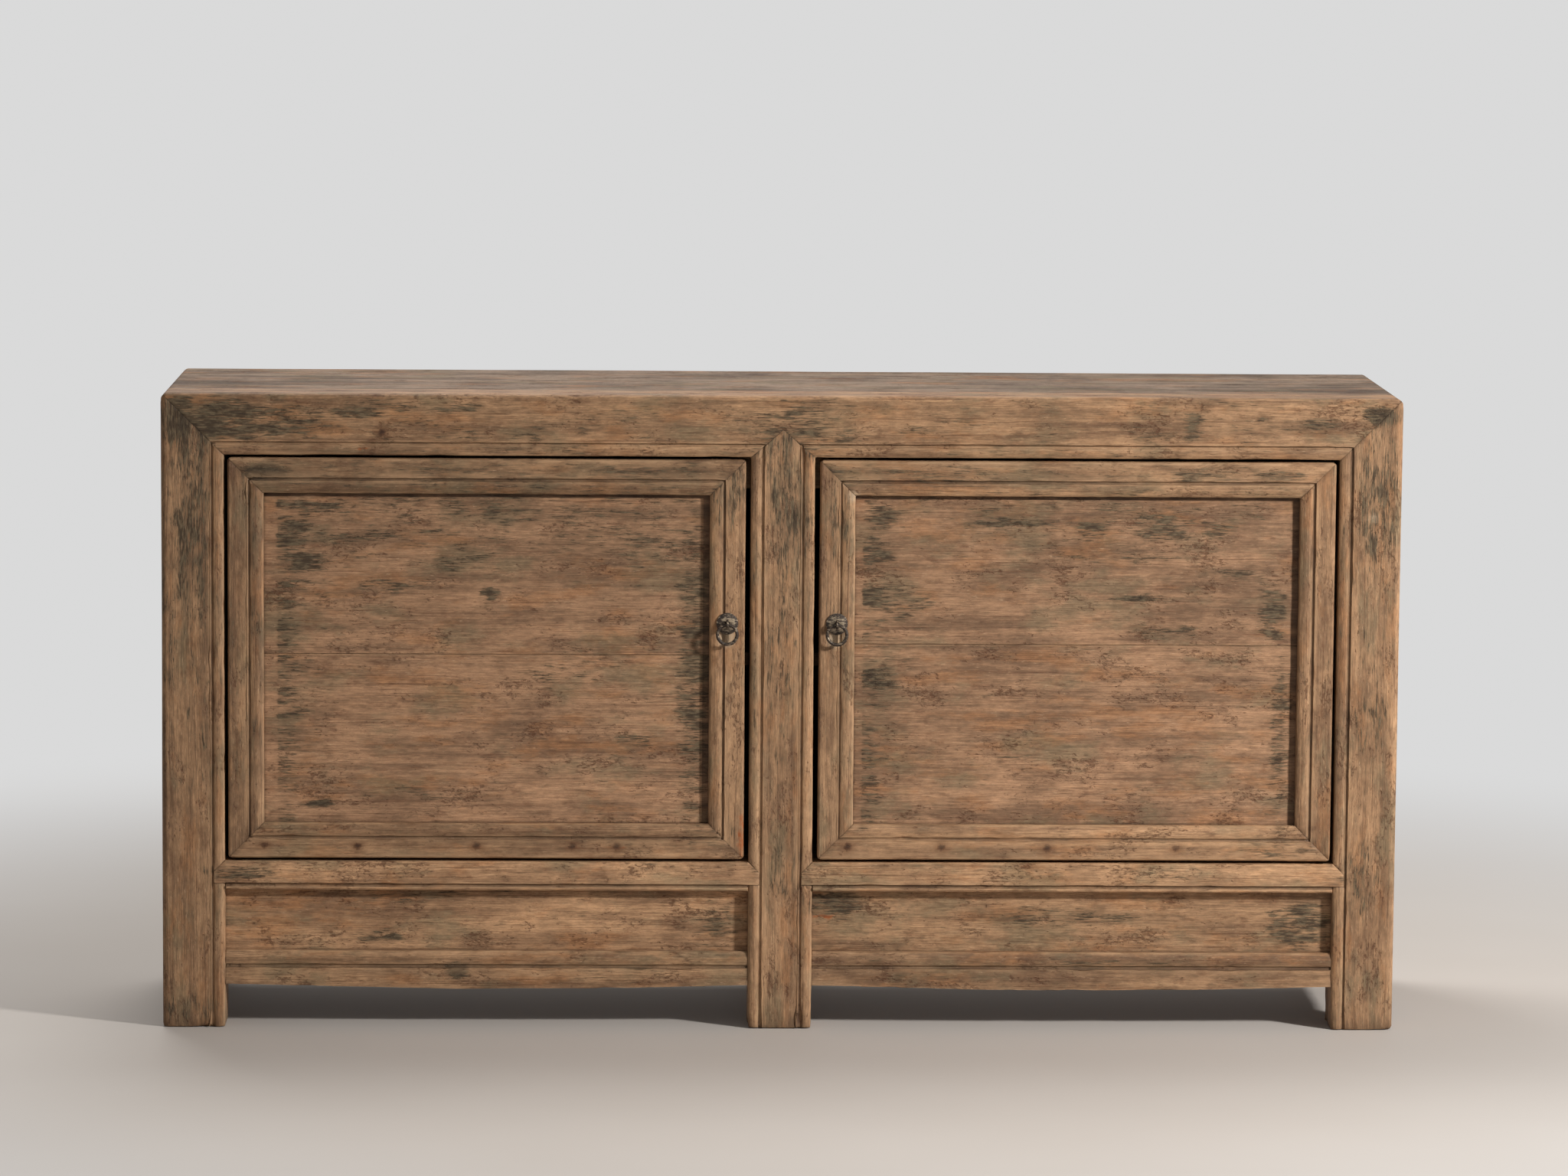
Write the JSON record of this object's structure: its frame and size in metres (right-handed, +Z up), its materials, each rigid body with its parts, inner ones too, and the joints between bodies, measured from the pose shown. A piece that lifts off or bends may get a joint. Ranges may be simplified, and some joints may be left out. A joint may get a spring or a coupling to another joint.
{
  "type": "two-door sideboard",
  "caption": "Low wooden sideboard with inset framed doors on wooden pivots, iron ring pulls, a shelf inside and a beaded, mitred frame standing on square legs.",
  "frame": {"origin": "on the floor under the middle of the carcass", "axes": "+X to the right, +Y to the back, +Z up; the doors face -Y"},
  "size_m": [1.65, 0.4186, 0.852],
  "materials": {
    "frame_wood": "old worn lacquer",
    "panel_wood": "old worn lacquer",
    "top_wood": "bare and greyed",
    "inner_wood": "bare",
    "iron": "dark, worn bright"
  },
  "bodies": {
    "carcass": {"back_centre_post": "inner_wood", "back_left_post": "inner_wood", "back_left_sill": "inner_wood", "back_right_post": "inner_wood", "back_right_sill": "inner_wood", "back_top_rail": "inner_wood", "centre_shelf_bearer": "inner_wood", "centre_sill": "inner_wood", "door_stops": "inner_wood", "front_centre_post": "frame_wood", "front_left_apron_panel": "frame_wood", "front_left_apron_rail": "frame_wood", "front_left_post": "frame_wood", "front_left_sill": "frame_wood", "front_right_apron_panel": "frame_wood", "front_right_apron_rail": "frame_wood", "front_right_post": "frame_wood", "front_right_sill": "frame_wood", "front_top_board": "top_wood", "front_top_rail": "frame_wood", "left_apron_board": "frame_wood", "left_back_boards": "inner_wood", "left_floor_boards": "inner_wood", "left_shelf_bearer": "inner_wood", "left_side_panel": "frame_wood", "left_sill": "frame_wood", "left_top_rail": "frame_wood", "rear_top_board": "top_wood", "right_apron_board": "frame_wood", "right_back_boards": "inner_wood", "right_floor_boards": "inner_wood", "right_shelf_bearer": "inner_wood", "right_side_panel": "frame_wood", "right_sill": "frame_wood", "right_top_rail": "frame_wood", "shelf_boards": "inner_wood", "top_batten": "inner_wood"},
    "left_door": {"left_door_batten": "inner_wood", "left_door_bottom_rail": "frame_wood", "left_door_hinge_stile": "frame_wood", "left_door_lock_stile": "frame_wood", "left_door_lower_board": "panel_wood", "left_door_top_rail": "frame_wood", "left_door_upper_board": "panel_wood", "left_pull_plate": "iron", "left_pull_staple": "iron"},
    "right_door": {"right_door_batten": "inner_wood", "right_door_bottom_rail": "frame_wood", "right_door_hinge_stile": "frame_wood", "right_door_lock_stile": "frame_wood", "right_door_lower_board": "panel_wood", "right_door_top_rail": "frame_wood", "right_door_upper_board": "panel_wood", "right_pull_plate": "iron", "right_pull_staple": "iron"},
    "left_ring": {"left_pull_ring": "iron"},
    "right_ring": {"right_pull_ring": "iron"}
  },
  "joints": [
    {"name": "left_door_hinge", "type": "hinge", "parent": "carcass", "child": "left_door", "pos_m": [-0.722, -0.1875, 0.4975], "axis": [0, 0, -1], "range_deg": [0, 105]},
    {"name": "left_ring_swing", "type": "hinge", "parent": "left_door", "child": "left_ring", "pos_m": [-0.073, -0.20969, 0.5464], "axis": [-1, 0, 0], "range_deg": [-12, 170]},
    {"name": "right_door_hinge", "type": "hinge", "parent": "carcass", "child": "right_door", "pos_m": [0.722, -0.1875, 0.4975], "axis": [0, 0, 1], "range_deg": [0, 105]},
    {"name": "right_ring_swing", "type": "hinge", "parent": "right_door", "child": "right_ring", "pos_m": [0.073, -0.20969, 0.5464], "axis": [-1, 0, 0], "range_deg": [-12, 170]}
  ]
}
